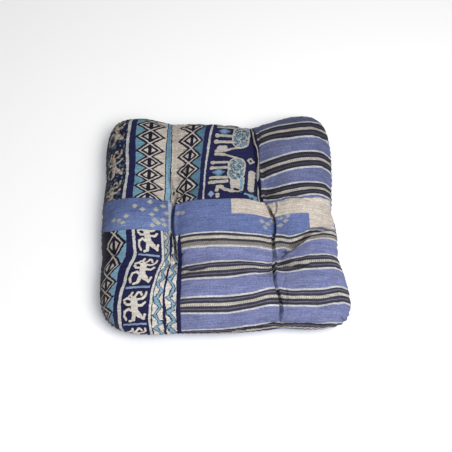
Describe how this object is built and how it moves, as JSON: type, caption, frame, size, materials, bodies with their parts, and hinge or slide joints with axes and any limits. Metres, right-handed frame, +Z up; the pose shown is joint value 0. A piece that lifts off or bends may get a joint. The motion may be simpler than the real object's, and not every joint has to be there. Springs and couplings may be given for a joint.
{
  "type": "tufted chair cushion",
  "caption": "Square stuffed chair cushion with a pieced cotton face, a knife-edge seam and stitch tufts that draw it into soft pillows.",
  "frame": {"origin": "centre of the cushion's outline, on the surface that its underside lies on", "axes": "+X to the right and +Y to the back as the face is read in the picture, +Z up out of the face"},
  "size_m": [0.4084, 0.414, 0.0853],
  "materials": {
    "patchwork_cotton": "matte woven and printed cotton, pieced in blue, navy, turquoise and cream",
    "sewing_thread": "matte twisted cotton thread"
  },
  "bodies": {
    "root": {"cushion": "patchwork_cotton"}
  },
  "joints": []
}
